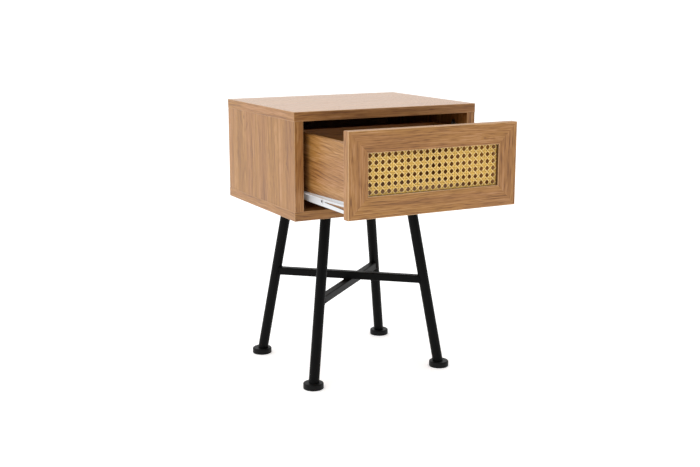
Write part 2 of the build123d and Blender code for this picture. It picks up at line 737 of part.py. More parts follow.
def box_side(side, holes):
    """One side of the drawer box, grooved for the bottom panel."""
    board = block((side * box_inner, side * box_outer), (front_back_y, box_back_y), (box_low, box_high))
    board -= box_floor(GROOVE_CLEARANCE)
    for hole in holes:
        board -= hole
    return board


# ---- Carcass ----------------------------------------------------------------------------------------

def back_groove(clearance=0.0):
    """The thin back panel, or the groove that it sits in when a clearance is given."""
    reach = BACK_GROOVE_DEPTH - GROOVE_CLEARANCE + clearance
    start = back_y - BACK_INSET - BACK_THICKNESS
    x = (-side_inner - reach, side_inner + reach)
    z = (floor_panel_z - reach, ceiling_z + reach)
    return block(x, (start - clearance, start + BACK_THICKNESS), z)


def cap_panel(low_z, high_z, holes):
    """The core of the top or bottom panel, inside its edgings."""
    edge = half_width - EDGING
    board = block((-edge, edge), (front_y + EDGING, back_y), (low_z, high_z)) - back_groove(GROOVE_CLEARANCE)
    for hole in holes:
        board -= hole
    return board


def cap_edgings(name, low_z, high_z):
    """The front and side edgings of the top or bottom panel."""
    x = (-half_width, half_width)
    pieces = {f"{name}_front_edging": block(x, (front_y, front_y + EDGING), (low_z, high_z))}
    for side_name, side in SIDES.items():
        strip_x = (side * (half_width - EDGING), side * half_width)
        pieces[f"{name}_{side_name}_edging"] = block(strip_x, (front_y + EDGING, back_y), (low_z, high_z))
    return pieces


def side_panel(side, holes):
    """The core of one side panel, behind its front edging."""
    x = (side * side_inner, side * side_outer)
    board = block(x, (front_y + EDGING, back_y), (floor_panel_z, ceiling_z)) - back_groove(GROOVE_CLEARANCE)
    for hole in holes:
        board -= hole
    return board


# ---- Building every node ----------------------------------------------------------------------------

def build_carcass(plate_holes, runner_holes):
    joint_holes = dowel_holes()
    bolt_holes = cam_bolts(HOLE_CLEARANCE, CAM_BOLT_RADIUS)
    cam_holes = cams(HOLE_CLEARANCE)
    screw_holes = panel_screw_holes()
    bolt_holes_above = cam_bolts(HOLE_CLEARANCE, HOLE_END_CLEARANCE)
    save("top_panel", cap_panel(ceiling_z, top_z, joint_holes + bolt_holes_above))
    save("bottom_panel", cap_panel(bottom_z, floor_panel_z, joint_holes + screw_holes + plate_holes))
    edgings = cap_edgings("top", ceiling_z, top_z)
    edgings.update(cap_edgings("bottom", bottom_z, floor_panel_z))
    for side_name, side in SIDES.items():
        side_holes = joint_holes + bolt_holes + cam_holes + screw_holes + runner_holes
        save(f"{side_name}_side_panel", side_panel(side, side_holes))
        x = (side * side_inner, side * side_outer)
        strip = block(x, (front_y, front_y + EDGING), (floor_panel_z, ceiling_z))
        edgings[f"{side_name}_side_edging"] = strip
    for name, strip in edgings.items():
        save(name, strip)
    save("back_panel", back_groove())
    save("carcass_dowels", group(carcass_dowels()))
    save("carcass_cam_bolts", group(cam_bolts()))
    save("carcass_cams", group(finished_cams()))
    save("bottom_panel_screws", group(panel_screws()))


def build_leg_frame(screws):
    for end_name, end in ENDS.items():
        for side_name, side in SIDES.items():
            save(f"leg_{end_name}_{side_name}", leg(side, end))
            save(f"leg_plate_{end_name}_{side_name}", leg_plate(side, end))
            save(f"foot_{end_name}_{side_name}", foot(side, end))
    upper_tube, lower_tube = stretchers()
    save("stretcher_upper", upper_tube)
    save("stretcher_lower", lower_tube)
    save("leg_plate_screws", group(screws))


def build_runners(cabinet_screws, drawer_screws):
    for side_name, side in SIDES.items():
        save(f"cabinet_runner_{side_name}", cabinet_runner(side))
        save(f"drawer_runner_{side_name}", drawer_runner(side))
        centre = (cabinet_roller_y, cabinet_roller_z)
        wheel = roller(side, cabinet_roller_near, cabinet_roller_width, centre, CABINET_ROLLER_RADIUS)
        save(f"cabinet_roller_{side_name}", wheel)
        centre = (drawer_roller_y, drawer_roller_z)
        wheel = roller(side, drawer_roller_near, drawer_roller_width, centre, drawer_roller_radius)
        save(f"drawer_roller_{side_name}", wheel)
    save("cabinet_roller_pins", group(cabinet_roller_pins()))
    save("drawer_roller_pins", group(drawer_roller_pins()))
    save("cabinet_runner_screws", group(cabinet_screws))
    save("drawer_runner_screws", group(drawer_screws))


def build_drawer(runner_holes):
    floor_groove = box_floor(GROOVE_CLEARANCE)
    front_holes = mitre_dowels(HOLE_CLEARANCE, HOLE_END_CLEARANCE)
    front_holes += box_cam_bolts(HOLE_CLEARANCE, HOLE_END_CLEARANCE)
    for name, member in front_members().items():
        member -= floor_groove
        for hole in front_holes:
            member -= hole
        save(name, member)
    cane_x = cane_half + CANE_REBATE - BEAD_CLEARANCE
    cane_z = (cane_low - CANE_REBATE + BEAD_CLEARANCE, cane_high + CANE_REBATE - BEAD_CLEARANCE)
    save("cane_webbing", block((-cane_x, cane_x), (rebate_y, bead_y), cane_z))
    long_beads, short_beads = cane_beads()
    save("cane_beads_long", group(long_beads))
    save("cane_beads_short", group(short_beads))
    dowel_holes_in_box = back_dowels(HOLE_CLEARANCE, HOLE_END_CLEARANCE)
    side_holes = dowel_holes_in_box + box_cams(HOLE_CLEARANCE) + runner_holes
    side_holes += box_cam_bolts(HOLE_CLEARANCE, BOX_BOLT_RADIUS)
    side_holes += [runner_hole(side, -RUNNER_HOLE_IN_BOX, 0.0, RUNNER_HOLE_RADIUS) for side in SIDES.values()]
    for side_name, side in SIDES.items():
        save(f"drawer_{side_name}_side", box_side(side, side_holes))
    back = block((-box_inner, box_inner), (box_back_front_y, box_back_y), (box_floor_high, box_high))
    for hole in dowel_holes_in_box:
        back -= hole
    save("drawer_back", back)
    save("drawer_bottom", box_floor())
    save("drawer_dowels", group(mitre_dowels() + back_dowels()))
    save("drawer_cam_bolts", group(box_cam_bolts()))
    save("drawer_cams", group(finished_box_cams()))


plate_screw_pieces, plate_screw_holes = plate_screws()
cabinet_screw_pieces, cabinet_screw_holes = cabinet_runner_screws()
drawer_screw_pieces, drawer_screw_holes = drawer_runner_screws()
build_carcass(plate_screw_holes, cabinet_screw_holes)
build_leg_frame(plate_screw_pieces)
build_runners(cabinet_screw_pieces, drawer_screw_pieces)
build_drawer(drawer_screw_holes)
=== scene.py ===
"""Bedside table with a cane-fronted drawer: the looks of every piece, laid out as an add-on."""

import json
import math
from functools import partial

import bmesh
import bpy
import numpy as np
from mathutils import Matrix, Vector


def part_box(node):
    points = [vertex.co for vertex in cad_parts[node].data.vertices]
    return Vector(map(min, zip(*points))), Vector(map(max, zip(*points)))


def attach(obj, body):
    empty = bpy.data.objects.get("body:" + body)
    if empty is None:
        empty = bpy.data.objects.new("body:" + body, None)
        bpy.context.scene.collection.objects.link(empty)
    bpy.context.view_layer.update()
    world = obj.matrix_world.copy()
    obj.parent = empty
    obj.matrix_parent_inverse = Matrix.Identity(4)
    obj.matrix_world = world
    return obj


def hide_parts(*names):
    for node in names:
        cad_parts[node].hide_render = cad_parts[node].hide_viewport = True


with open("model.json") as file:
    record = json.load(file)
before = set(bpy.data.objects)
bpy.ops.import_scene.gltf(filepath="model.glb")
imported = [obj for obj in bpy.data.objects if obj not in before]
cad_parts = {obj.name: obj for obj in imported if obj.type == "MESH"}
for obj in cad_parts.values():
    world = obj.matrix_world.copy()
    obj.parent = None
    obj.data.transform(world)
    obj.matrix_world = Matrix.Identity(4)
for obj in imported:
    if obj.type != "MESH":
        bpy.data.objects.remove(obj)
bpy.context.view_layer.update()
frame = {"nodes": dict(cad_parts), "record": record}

bl_info = {
    "name": "Cane-front bedside table",
    "version": (1, 0, 0),
    "blender": (4, 5, 0),
    "location": "3D View > Sidebar > Bedside table",
    "description": "Finishes a bedside table with oak-effect boards, woven cane and a steel leg frame",
    "category": "Object",
}

# Carcass planes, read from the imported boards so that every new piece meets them.
FRONT_LOW, FRONT_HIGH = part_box("front_top_rail")
CANE_LOW, CANE_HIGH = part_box("cane_webbing")
CARCASS_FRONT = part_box("top_front_edging")[0].y
CARCASS_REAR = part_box("top_panel")[1].y
CARCASS_MIDDLE = (CARCASS_FRONT + CARCASS_REAR) / 2.0
CARCASS_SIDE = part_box("top_left_edging")[0].x
SAME_PLACE = 1e-5

# Where the webbing lies in the front: its middle column of holes, and its top row.
CANE_OFF_CENTRE = 0.0003
CANE_FIRST_ROW = 0.4883

# Width of the four members of the drawer front.
FRONT_MEMBER = 0.040

# The leg frame's centre lines, from the table's middle: out to the side, and front or back.
LEG_TOP_OUT = 0.097
LEG_TOP_AWAY = 0.088
LEG_TOP_HEIGHT = 0.348
LEG_FOOT_OUT = 0.147
LEG_FOOT_AWAY = 0.1285
LEG_RADIUS = 0.01065
PLATE_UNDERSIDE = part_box("leg_plate_front_left")[0].z

# Steel bars: two 16 mm square tubes that cross, the upper one resting on the lower one.
UPPER_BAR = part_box("stretcher_upper")
LOWER_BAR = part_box("stretcher_lower")
BAR_HALF = (UPPER_BAR[1].z - UPPER_BAR[0].z) / 2.0
UP = Vector((0.0, 0.0, 1.0))

# Weld beads: how far they stand off the bar, the corner that they turn, and how finely they are
# drawn along a bar's side, round a leg's top, along the crossing's side and round the bead.
BEAD_OFF_BAR = 0.0003
BEAD_CORNER = 0.001
BAR_STEPS = 14
COLLAR_STEPS = 40
CROSSING_STEPS = 9
BEAD_SIDES = 8

# The camera of the studio shot: where it stands, which way it looks, and its lens.
CAMERA_PLACE = (-1.0282, -1.8643, 0.7422)
CAMERA_TURN = 0.4865
CAMERA_DIP = 0.2086
CAMERA_LENS = 55.12
CAMERA_SENSOR = 36.0


# ---- Colours and nodes -------------------------------------------------------


def linear(code):
    """A linear colour from an sRGB hex value."""
    channels = [int(code[i : i + 2], 16) / 255.0 for i in (0, 2, 4)]
    return tuple(c / 12.92 if c <= 0.04045 else ((c + 0.055) / 1.055) ** 2.4 for c in channels)


def rgba(colour):
    """A colour with full opacity."""
    return (*colour, 1.0)


def add_node(tree, kind, feeds=None, stops=(), **settings):
    """A shader node with its settings, the stops of its colour ramp, and its inputs.

    Each input is set to a value, or joined to a socket or to another node's first output.
    """
    made = tree.nodes.new("ShaderNode" + kind)
    for key, value in settings.items():
        setattr(made, key, value)
    for index, (spot, colour) in enumerate(stops):
        elements = made.color_ramp.elements
        stop = elements[index] if index < 2 else elements.new(spot)
        stop.position = spot
        stop.color = rgba(colour)
    for socket, feed in (feeds or {}).items():
        if isinstance(feed, bpy.types.NodeSocket):
            tree.links.new(feed, made.inputs[socket])
        elif isinstance(feed, bpy.types.Node):
            tree.links.new(feed.outputs[0], made.inputs[socket])
        else:
            made.inputs[socket].default_value = feed
    return made


def new_material(name):
    """An empty material, how to add a node to it, and the place that its patterns are drawn by."""
    material = bpy.data.materials.new(name)
    material.use_nodes = True
    material.node_tree.nodes.clear()
    add = partial(add_node, material.node_tree)
    return material, add, add("TexCoord").outputs["Object"]


def shaded(material, looks):
    """The material, with its shader's inputs set to looks."""
    shader = add_node(material.node_tree, "BsdfPrincipled", looks)
    add_node(material.node_tree, "OutputMaterial", {"Surface": shader})
    return material


# ---- Sizes and colours that a user would change ------------------------------


# What every colour setting shares.
COLOUR = {"subtype": "COLOR", "min": 0.0, "max": 1.0}


class OakSettings(bpy.types.PropertyGroup):
    """The oak-effect foil, its edge bands and the rounded arrises."""

    pale: bpy.props.FloatVectorProperty(
        name="Pale grain", description="Lightest tone of the printed oak", default=linear("C0946B"), **COLOUR
    )
    middle: bpy.props.FloatVectorProperty(
        name="Middle grain", description="Main tone of the printed oak", default=linear("A17138"), **COLOUR
    )
    dark: bpy.props.FloatVectorProperty(
        name="Dark grain", description="Tone of the growth lines and pores",
        default=linear("6A4018"), **COLOUR
    )
    knot: bpy.props.FloatVectorProperty(
        name="Knots", description="Tone of the heart of a knot", default=linear("744B2B"), **COLOUR
    )
    ring_spacing: bpy.props.FloatProperty(
        name="Ring spacing", description="Distance between growth lines on a flat-sawn face",
        default=0.0075, unit="LENGTH", min=0.002
    )
    streak_width: bpy.props.FloatProperty(
        name="Streak width", description="Width of the fine streaks that run along the grain",
        default=0.0019, unit="LENGTH", min=0.0005
    )
    band_arris: bpy.props.FloatProperty(
        name="Band arris", description="Radius that the edge bands are scraped to",
        default=0.0008, unit="LENGTH", min=0.0001, max=0.00095
    )
    front_arris: bpy.props.FloatProperty(
        name="Drawer front arris", description="Radius along the edges of the drawer front",
        default=0.001, unit="LENGTH", min=0.0001, max=0.003
    )


class CaneSettings(bpy.types.PropertyGroup):
    """The woven cane in the drawer front."""

    pitch: bpy.props.FloatProperty(
        name="Mesh", description="Distance from one hole to the next: half-inch webbing, a little stretched",
        default=0.0131, unit="LENGTH", min=0.006
    )
    pair_gap: bpy.props.FloatProperty(
        name="Pair spacing", description="Distance between the middles of two strands of one pair",
        default=0.0031, unit="LENGTH", min=0.001
    )
    strand_width: bpy.props.FloatProperty(
        name="Strand width", description="Width of an upright or level strand",
        default=0.0021, unit="LENGTH", min=0.0005
    )
    binder_width: bpy.props.FloatProperty(
        name="Binder width", description="Width of a slanting strand",
        default=0.0019, unit="LENGTH", min=0.0005
    )
    thickness: bpy.props.FloatProperty(
        name="Strand thickness", description="Thickness of the split cane",
        default=0.00045, unit="LENGTH", min=0.0001
    )
    straw: bpy.props.FloatVectorProperty(
        name="Strands", description="Colour of the upright and level strands",
        default=linear("E8C060"), **COLOUR
    )
    # The slanting strands are drawn paler than the pairs: a painted highlight, as they lie on top of the
    # weave.
    binder: bpy.props.FloatVectorProperty(
        name="Binders", description="Colour of the slanting strands", default=linear("F2D38E"), **COLOUR
    )


class SteelSettings(bpy.types.PropertyGroup):
    """The leg frame, its welds and feet, and the drawer's runners."""

    coat: bpy.props.FloatVectorProperty(
        name="Powder coat", description="Colour of the coated leg frame", default=linear("040404"), **COLOUR
    )
    foot: bpy.props.FloatVectorProperty(
        name="Feet", description="Colour of the moulded feet", default=linear("070707"), **COLOUR
    )
    enamel: bpy.props.FloatVectorProperty(
        name="Runners", description="Colour of the epoxy coat on the runners",
        default=linear("DCDEE1"), **COLOUR
    )
    fold_radius: bpy.props.FloatProperty(
        name="Fold radius", description="Radius of the long edges of the folded runners",
        default=0.0003, unit="LENGTH", min=0.0001, max=0.0005
    )
    bead_radius: bpy.props.FloatProperty(
        name="Weld bead", description="Half the width of the weld beads",
        default=0.0016, unit="LENGTH", min=0.0005, max=0.004
    )


class StudioSettings(bpy.types.PropertyGroup):
    """The plain studio round the table."""

    key_power: bpy.props.FloatProperty(
        name="Key light", description="Power of the large light above and to the left",
        default=17.5, unit="POWER", min=0.0
    )
    front_power: bpy.props.FloatProperty(
        name="Front light", description="Power of the high light in front",
        default=11.0, unit="POWER", min=0.0
    )
    overhead_power: bpy.props.FloatProperty(
        name="Overhead light", description="Power of the light that hangs above the table",
        default=9.5, unit="POWER", min=0.0
    )
    room_front: bpy.props.FloatProperty(
        name="Room light in front", description="Strength of the room's light from in front of the table",
        default=0.24, min=0.0
    )
    room_back: bpy.props.FloatProperty(
        name="Room light behind", description="Strength of the room's light from behind the table",
        default=1.3, min=0.0
    )
    floor: bpy.props.FloatVectorProperty(
        name="Floor", description="Colour of the studio floor", default=linear("F4F4F4"), **COLOUR
    )


# ---- Materials ---------------------------------------------------------------

GRAIN_ORDER = {"X": ("Y", "Z", "X"), "Y": ("X", "Z", "Y"), "Z": ("X", "Y", "Z")}

# Typical index of refraction of foil, lacquer, wood, cane and plastic.
PLAIN_IOR = 1.5


def along_grain(add, place, grain):
    """Coordinates turned so that the last one runs along the grain, and that one by itself."""
    split = add("SeparateXYZ", {0: place})
    across, depth, along = (split.outputs[axis] for axis in GRAIN_ORDER[grain])
    return add("CombineXYZ", {0: across, 1: depth, 2: along}), along


def printed_oak(name, grain, heart, **changes):
    """Oak-effect paper foil, pressed on particle board and lacquered satin.

    The print has the broad bands, growth lines, streaks and short pores of flat-sawn oak. The
    lacquer gives the eye a soft white sheen at a low angle and hardly any shine from the front.
    grain is the axis that it runs along, and heart the log's middle, across the board, in metres.
    """
    oak = bpy.context.scene.table_oak
    look = {
        "lean": (0.0, 0.0),
        "spacing": oak.ring_spacing,
        "rings": 0.30,
        "bands": 0.35,
        "cords": 0.35,
        "streaks": 0.35,
        "pores": 0.20,
        "contrast": 1.0,
        "shade": 0.0,
        "wander": 0.006,
        "knots": (),
        "tint": 1.0,
        "roughness": 0.42,
    }
    look.update(changes)
    contrast, rough = look["contrast"], look["roughness"]
    material, add, place = new_material(name)
    log, along = along_grain(add, place, grain)

    # The log's rings, leaning and wandering a little along the board.
    slow = add("VectorMath", {0: log, 1: (14.0, 14.0, 3.2)}, operation="MULTIPLY")
    drift = add("TexNoise", {"Vector": slow, "Scale": 1.0, "Detail": 3.0}).outputs["Color"]
    centred = add("VectorMath", {0: drift, 1: (0.5, 0.5, 0.5)}, operation="SUBTRACT")
    wander = look["wander"] * 3.0
    push = add("VectorMath", {0: centred, 1: (wander, wander, 0.0)}, operation="MULTIPLY")
    moved = add("VectorMath", {0: log, 1: push}, operation="ADD")
    one, two = (add("Math", {0: along, 1: slope}, operation="MULTIPLY") for slope in look["lean"])
    lean = add("CombineXYZ", {0: one, 1: two, 2: along})
    leaned = add("VectorMath", {0: moved, 1: lean}, operation="SUBTRACT")
    from_heart = add("VectorMath", {0: leaned, 1: (*heart, 0.0)}, operation="SUBTRACT")
    reach = add("VectorMath", {0: from_heart}, operation="LENGTH").outputs["Value"]

    # Each knot pushes the growth lines aside and has a small dark heart.
    hearts = None
    for spot, size in look["knots"]:
        gap = add("VectorMath", {0: log, 1: spot}, operation="SUBTRACT")
        flat = add("VectorMath", {0: gap, 1: (0.0, 1.0, 0.55)}, operation="MULTIPLY")
        far = add("VectorMath", {0: flat}, operation="LENGTH").outputs["Value"]
        swell = add(
            "MapRange",
            {"Value": far, "From Max": size * 7.0, "To Min": size * 2.5, "To Max": 0.0},
            interpolation_type="SMOOTHERSTEP",
        )
        reach = add("Math", {0: reach, 1: swell}, operation="ADD")
        mark = add(
            "MapRange",
            {"Value": far, "From Min": size * 0.2, "From Max": size, "To Min": 0.75, "To Max": 0.0},
            interpolation_type="SMOOTHSTEP",
        )
        hearts = mark if hearts is None else add("Math", {0: hearts, 1: mark}, operation="MAXIMUM")

    turns = add("Math", {0: reach, 1: look["spacing"]}, operation="DIVIDE")
    year = add("Math", {0: turns}, operation="FRACT")
    levels = ((0.0, 0.05), (1.0, 0.05), (0.22, 0.62), (0.78, 0.85))
    rings = add("ValToRGB", {"Fac": year}, [(spot, (level,) * 3) for spot, level in levels])
    rings.color_ramp.interpolation = "EASE"

    # The other layers: what each is laid on, its cycles per metre across and along, and its detail.
    fine = 1.0 / oak.streak_width
    layers = {}
    for layer, ground, across, down, detail, twist in (
        # Broad bands, about 35 mm across.
        ("bands", log, 28.0, 2.0, 2.0, 0.0),
        # Cords, 7 mm across, break the growth lines up so that no two look alike.
        ("cords", moved, 140.0, 6.0, 2.0, 0.0),
        ("streaks", moved, fine, fine / 45.0, 3.0, 0.0),
        # Real pores are 0.2 mm wide. They are drawn 1.5 mm wide, or they would not show.
        ("pores", moved, 650.0, 38.0, 1.0, 0.0),
        # The print drifts between a yellower and a pinker brown, in bands 30 mm across.
        ("blush", log, 33.0, 2.5, 1.0, 0.4),
    ):
        drawn = add("VectorMath", {0: ground, 1: (across, across, down)}, operation="MULTIPLY")
        layers[layer] = add(
            "TexNoise", {"Vector": drawn, "Scale": 1.0, "Detail": detail, "Distortion": twist}
        )
    pored = add("MapRange", {"Value": layers["pores"], "From Min": 0.5, "From Max": 0.7})

    # Growth lines come and go with the cords.
    worn = add(
        "MapRange",
        {"Value": layers["cords"], "From Min": 0.35, "From Max": 0.6, "To Min": 1.0, "To Max": 0.25},
    )
    swing = add("Math", {0: rings, 1: 0.62}, operation="SUBTRACT")
    lines = add("Math", {0: swing, 1: worn}, operation="MULTIPLY")
    first = {0: lines, 1: look["rings"] * contrast, 2: 0.55 + look["shade"]}
    tone = add("Math", first, operation="MULTIPLY_ADD")
    for layer in ("bands", "cords", "streaks"):
        swing = add("Math", {0: layers[layer], 1: 0.5}, operation="SUBTRACT")
        weight = look[layer] * 2.0 * contrast
        tone = add("Math", {0: swing, 1: weight, 2: tone}, operation="MULTIPLY_ADD")
    last = {0: pored, 1: -look["pores"] * contrast, 2: tone}
    tone = add("Math", last, operation="MULTIPLY_ADD")
    tones = (0.0, oak.dark), (1.0, oak.pale), (0.55, oak.middle)
    stops = [(spot, [c * look["tint"] for c in colour]) for spot, colour in tones]
    paint = add("ValToRGB", {"Fac": tone}, stops)

    amount = add("MapRange", {"Value": layers["blush"], "From Min": 0.4, "From Max": 0.6})
    yellower, pinker = (1.03, 1.02, 0.93, 1.0), (1.0, 0.96, 1.05, 1.0)
    blush = add("Mix", {"Factor": amount, 6: yellower, 7: pinker}, data_type="RGBA").outputs[2]
    colour = add(
        "Mix", {"Factor": 1.0, 6: paint, 7: blush}, data_type="RGBA", blend_type="MULTIPLY"
    ).outputs[2]
    if hearts is not None:
        knotted = {"Factor": hearts, 6: colour, 7: rgba(oak.knot)}
        colour = add("Mix", knotted, data_type="RGBA").outputs[2]

    sheen = add("MapRange", {"Value": layers["streaks"], "To Min": rough - 0.05, "To Max": rough + 0.08})
    bump = add("Bump", {"Height": tone, "Strength": 0.25, "Distance": 0.0002})
    return shaded(material, {"Base Color": colour, "Roughness": sheen, "Normal": bump, "IOR": PLAIN_IOR})


def painted_edge_light_and_shade(name, code):
    """The arris of a foiled board or edge band, scraped round and drawn paler than the face as a painted
    highlight; the same flat, flecked colour, drawn dark, paints the drawer front's opening walls.
    """
    material, add, place = new_material(name)
    flecks = add("TexNoise", {"Vector": place, "Scale": 160.0, "Detail": 2.0})
    stops = (0.25, [c * 0.8 for c in linear(code)]), (0.75, linear(code))
    paint = add("ValToRGB", {"Fac": flecks}, stops)
    return shaded(material, {"Base Color": paint, "Roughness": 0.38, "IOR": PLAIN_IOR})


def pressed_hardboard(name):
    """Hardboard, wood fibre pressed wet on a mesh: a brown mottle of short fibres, quite dull."""
    material, add, place = new_material(name)
    # Fibres are a few mm long and are drawn 3 mm wide.
    fibres = add("TexNoise", {"Vector": place, "Scale": 330.0, "Detail": 4.0, "Roughness": 0.65})
    cloud = add("TexNoise", {"Vector": place, "Scale": 60.0, "Detail": 2.0})
    blend = add("Math", {0: cloud, 1: 0.3, 2: fibres}, operation="MULTIPLY_ADD")
    stops = (0.35, linear("6B4A2F")), (0.95, linear("8E6A48"))
    paint = add("ValToRGB", {"Fac": blend}, stops)
    bump = add("Bump", {"Height": fibres, "Strength": 0.3, "Distance": 0.0003})
    return shaded(material, {"Base Color": paint, "Normal": bump, "Roughness": 0.62, "IOR": PLAIN_IOR})


def planed_wood(name, grain, pale_code, dark_code, line_width):
    """Plain planed wood, such as softwood beads or beech dowels: close lines along the grain, matt."""
    material, add, place = new_material(name)
    log = along_grain(add, place, grain)[0]
    close = 1.0 / line_width
    drawn = add("VectorMath", {0: log, 1: (close, close, close / 30.0)}, operation="MULTIPLY")
    lines = add("TexNoise", {"Vector": drawn, "Scale": 1.0, "Detail": 3.0})
    stops = (0.3, linear(dark_code)), (0.7, linear(pale_code))
    paint = add("ValToRGB", {"Fac": lines}, stops)
    bump = add("Bump", {"Height": lines, "Strength": 0.3, "Distance": 0.0002})
    return shaded(material, {"Base Color": paint, "Normal": bump, "Roughness": 0.6, "IOR": PLAIN_IOR})


def split_cane(name, colour, roughness):
    """Rattan peel, split and shaved: straw yellow with fibre lines, and a waxy shine on its rind."""
    material, add, place = new_material(name)
    strand = add("Attribute", attribute_name="strand_tone").outputs["Fac"]
    mottle = add("TexNoise", {"Vector": place, "Scale": 240.0, "Detail": 2.0})
    # The rind's fibres are 0.1 mm wide and are drawn 0.6 mm wide.
    fibre = add("TexNoise", {"Vector": place, "Scale": 1600.0, "Detail": 1.0})
    tone = add("Math", {0: mottle, 1: 0.55, 2: strand}, operation="MULTIPLY_ADD")
    tone = add("Math", {0: fibre, 1: 0.25, 2: tone}, operation="MULTIPLY_ADD")
    shaded_peel = colour[0] * 0.82, colour[1] * 0.76, colour[2] * 0.66
    stops = (0.35, shaded_peel), (1.0, [min(1.0, c * 1.08) for c in colour])
    paint = add("ValToRGB", {"Fac": tone}, stops)
    return shaded(material, {"Base Color": paint, "Roughness": roughness, "IOR": PLAIN_IOR})


def powder_coat(name, colour):
    """Steel with a satin black powder coat, baked on: a faint orange peel and a dull grey sheen."""
    material, add, place = new_material(name)
    # Orange peel is about 1 mm across and is drawn 1.6 mm across.
    peel = add("TexNoise", {"Vector": place, "Scale": 620.0, "Detail": 1.0})
    cloud = add("TexNoise", {"Vector": place, "Scale": 40.0, "Detail": 2.0})
    stops = (0.0, [c * 0.75 for c in colour]), (1.0, [c * 1.35 for c in colour])
    paint = add("ValToRGB", {"Fac": cloud}, stops)
    rough = add("MapRange", {"Value": peel, "To Min": 0.40, "To Max": 0.56})
    bump = add("Bump", {"Height": peel, "Strength": 0.35, "Distance": 0.00012})
    looks = {"Base Color": paint, "Roughness": rough, "Normal": bump}
    return shaded(material, {**looks, "IOR": PLAIN_IOR, "Specular IOR Level": 0.1})


def moulded_plastic(name, colour, roughness, grit, shine):
    """Injection-moulded plastic with a fine spark-eroded grain: even colour and a soft highlight."""
    material, add, place = new_material(name)
    # The mould's grain is 0.1 mm and is drawn at grit metres.
    grain = add("TexNoise", {"Vector": place, "Scale": 1.0 / grit, "Detail": 2.0})
    stops = (0.0, [c * 0.88 for c in colour]), (1.0, [min(1.0, c * 1.1) for c in colour])
    paint = add("ValToRGB", {"Fac": grain}, stops)
    bump = add("Bump", {"Height": grain, "Strength": 0.3, "Distance": 0.0001})
    looks = {"Base Color": paint, "Roughness": roughness, "Normal": bump}
    return shaded(material, {**looks, "IOR": PLAIN_IOR, "Specular IOR Level": shine})


def epoxy_coat(name, colour):
    """Rolled steel strip with a thin white epoxy coat: smooth, slightly wavy, with a mild gloss."""
    material, add, place = new_material(name)
    wave = add("TexNoise", {"Vector": place, "Scale": 90.0, "Detail": 1.0})
    stops = (0.0, [c * 0.94 for c in colour]), (1.0, colour)
    paint = add("ValToRGB", {"Fac": wave}, stops)
    bump = add("Bump", {"Height": wave, "Strength": 0.2, "Distance": 0.0002})
    return shaded(material, {"Base Color": paint, "Normal": bump, "Roughness": 0.3, "IOR": PLAIN_IOR})


def hole_wall_shade_steel(name):
    """Dark, dull metal on the walls of the runners' holes and slot: painted shade in those hollows."""
    material, add, place = new_material(name)
    grain = add("TexNoise", {"Vector": place, "Scale": 1200.0, "Detail": 2.0})
    stops = (0.0, linear("1C1A19")), (1.0, linear("3A3634"))
    paint = add("ValToRGB", {"Fac": grain}, stops)
    return shaded(material, {"Base Color": paint, "Roughness": 0.55, "Metallic": 1.0})


def zinc_plate(name):
    """Bright zinc plate on turned steel: bluish silver with a fine grain, blurred reflections."""
    material, add, place = new_material(name)
    grain = add("TexNoise", {"Vector": place, "Scale": 900.0, "Detail": 2.0})
    stops = (0.0, linear("A4A8AC")), (1.0, linear("C6C9CB"))
    paint = add("ValToRGB", {"Fac": grain}, stops)
    rough = add("MapRange", {"Value": grain, "To Min": 0.28, "To Max": 0.45})
    return shaded(material, {"Base Color": paint, "Roughness": rough, "Metallic": 1.0})


# ---- Helpers for pieces ------------------------------------------------------


def body_of(node):
    """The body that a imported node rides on."""
    for name, members in frame["record"]["behaviour"]["bodies"].items():
        if node in members:
            return name
    raise ValueError(f"no body holds {node}")


def paint_node(node, material):
    """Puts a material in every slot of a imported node."""
    mesh = frame["nodes"][node].data
    if not mesh.materials:
        mesh.materials.append(material)
    for index in range(len(mesh.materials)):
        mesh.materials[index] = material


def settle(piece, body, materials, replaced=()):
    """Gives a new piece its materials and body, and hides the nodes that it stands for."""
    for material in materials:
        piece.data.materials.append(material)
    bpy.context.scene.collection.objects.link(piece)
    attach(piece, body)
    if replaced:
        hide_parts(*replaced)
    return piece


def softened(node, radius, is_arris, face_material, arris_material):
    """A copy of a packed board with its chosen edges rounded over, in place of the sharp one."""
    source = frame["nodes"][node]
    shape = bmesh.new()
    shape.from_mesh(source.data)
    bmesh.ops.remove_doubles(shape, verts=shape.verts, dist=1e-6)
    flat = math.radians(1.0)
    bmesh.ops.dissolve_limit(shape, angle_limit=flat, verts=shape.verts, edges=shape.edges)
    chosen = []
    for edge in shape.edges:
        if not edge.is_manifold or edge.calc_face_angle() < math.radians(60.0):
            continue
        ends = [v.co for v in edge.verts]
        if is_arris((ends[0] + ends[1]) / 2.0, (ends[1] - ends[0]).normalized()):
            chosen.append(edge)
    if not chosen:
        raise ValueError(f"{node} has no arris to round")
    for face in shape.faces:
        face.material_index = 0
    bmesh.ops.bevel(
        shape,
        geom=chosen,
        offset=radius,
        segments=3,
        profile=0.5,
        affect="EDGES",
        material=1,
        clamp_overlap=True,
    )
    mesh = bpy.data.meshes.new(node + "_rounded")
    shape.to_mesh(mesh)
    shape.free()
    piece = bpy.data.objects.new(node + "_rounded", mesh)
    return settle(piece, body_of(node), (face_material, arris_material), (node,))


def tube_round(name, path, radii, sides):
    """A round mesh tube along a closed path of points, with its own radius at each point."""
    count = len(path)
    verts = []
    faces = []
    for index in range(count):
        following = (index + 1) % count
        ahead = (path[following] - path[index - 1]).normalized()
        helper = UP if abs(ahead.z) < 0.9 else Vector((1.0, 0.0, 0.0))
        one = ahead.cross(helper).normalized()
        two = ahead.cross(one).normalized()
        for side in range(sides):
            turn = 2.0 * math.pi * side / sides
            verts.append(path[index] + radii[index] * (math.cos(turn) * one + math.sin(turn) * two))
            here, there, step = index * sides, following * sides, (side + 1) % sides
            faces.append((here + side, here + step, there + step, there + side))
    mesh = bpy.data.meshes.new(name)
    mesh.from_pydata(verts, [], faces)
    mesh.shade_smooth()
    return mesh


